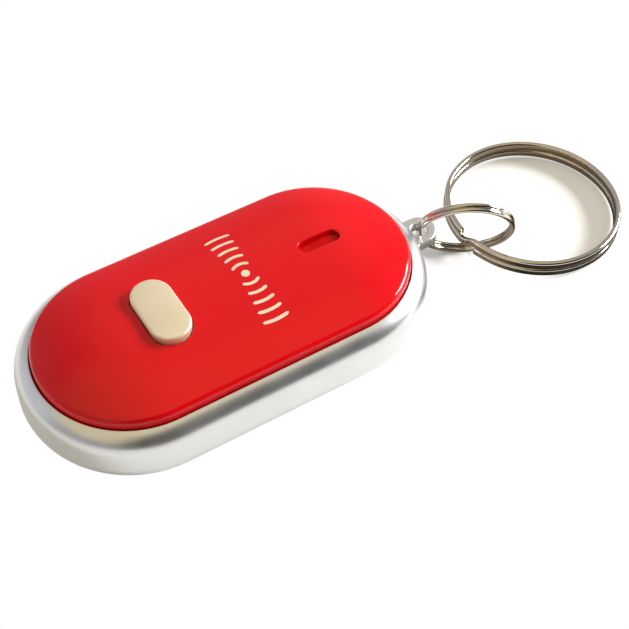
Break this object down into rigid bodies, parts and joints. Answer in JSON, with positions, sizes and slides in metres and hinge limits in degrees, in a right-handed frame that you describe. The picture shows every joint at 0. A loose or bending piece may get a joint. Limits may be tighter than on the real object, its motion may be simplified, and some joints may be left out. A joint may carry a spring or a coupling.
{
  "type": "key finder tag",
  "caption": "Pill-shaped key-ring tracker tag with a push button, a light window, a coin-cell bay, a sounder and two linked split rings on a lug.",
  "frame": {"origin": "centre of the case's flat underside, on the plane that the tag lies on", "axes": "+Z out of the cover's side, +X along the case towards the lug and its rings, +Y across the case"},
  "size_m": [0.0873, 0.029, 0.0137],
  "materials": {
    "silver_plastic": "satin metallic paint",
    "red_plastic": "high gloss, slightly translucent",
    "champagne_plastic": "satin metallic paint",
    "red_lens": "tinted translucent",
    "board": "solder mask",
    "black_plastic": "moulded",
    "white_plastic": "moulded",
    "ceramic": "fired",
    "tin": "tinned",
    "steel": "satin",
    "spring_bronze": "gold flashed",
    "brass": "plain",
    "nickel": "polished nickel plate",
    "black_rubber": "moulded",
    "foam": "closed-cell foam",
    "red_insulation": "vinyl",
    "black_insulation": "vinyl"
  },
  "bodies": {
    "case": {"lower_shell": "silver_plastic", "top_cover": "red_plastic", "light_guide": "red_lens", "circuit_board": "board", "radio_chip": "black_plastic", "crystal": "tin", "chip_antenna": "ceramic", "chip_passives": "ceramic", "boost_inductor": "black_plastic", "driver_transistor": "black_plastic", "indicator_led": "white_plastic", "switch_housing": "black_plastic", "switch_terminals": "tin", "snap_dome": "steel", "sounder_gasket": "foam", "sounder_disc": "brass", "sounder_ceramic": "ceramic", "sounder_lead_red": "red_insulation", "sounder_lead_black": "black_insulation", "cell_can": "steel", "cell_seal": "black_plastic", "cell_cap": "steel", "positive_contact": "spring_bronze", "negative_contact": "spring_bronze", "threaded_insert": "brass", "case_screws": "steel", "board_screws": "steel"},
    "button": {"button_cap": "champagne_plastic"},
    "plunger": {"switch_plunger": "black_plastic"},
    "door": {"battery_door": "silver_plastic", "door_seal": "black_rubber"},
    "door_fastener": {"door_screw": "steel"},
    "small_ring": {"small_split_ring": "nickel"},
    "large_ring": {"large_split_ring": "nickel"}
  },
  "joints": [
    {"name": "button_press", "type": "slide", "parent": "case", "child": "button", "axis": [0, 0, -1], "range_m": [0, 0.0003], "stiffness_N_per_m": 800},
    {"name": "plunger_press", "type": "slide", "parent": "case", "child": "plunger", "axis": [0, 0, -1], "range_m": [0, 0.0003], "deforming": ["snap_dome"]},
    {"name": "door_lift_off", "type": "slide", "parent": "case", "child": "door", "axis": [0, 0, -1], "range_m": [0, 0.012]},
    {"name": "door_screw_turn", "type": "hinge", "parent": "door", "child": "door_fastener", "pos_m": [-0.0211, 0, 0], "axis": [0, 0, 1], "continuous": true},
    {"name": "small_ring_swing", "type": "hinge", "parent": "case", "child": "small_ring", "pos_m": [0.0294, 0, 0.00525], "axis": [0, 0, 1], "range_deg": [-60, 60]},
    {"name": "large_ring_lift", "type": "hinge", "parent": "small_ring", "child": "large_ring", "pos_m": [0.03585, -0.00264, 0.00246], "axis": [0.0975, -0.9951, 0.0148], "range_deg": [0, 80]}
  ],
  "couplings": [
    {"joint": "plunger_press", "follows": "button_press", "ratio": 1}
  ]
}
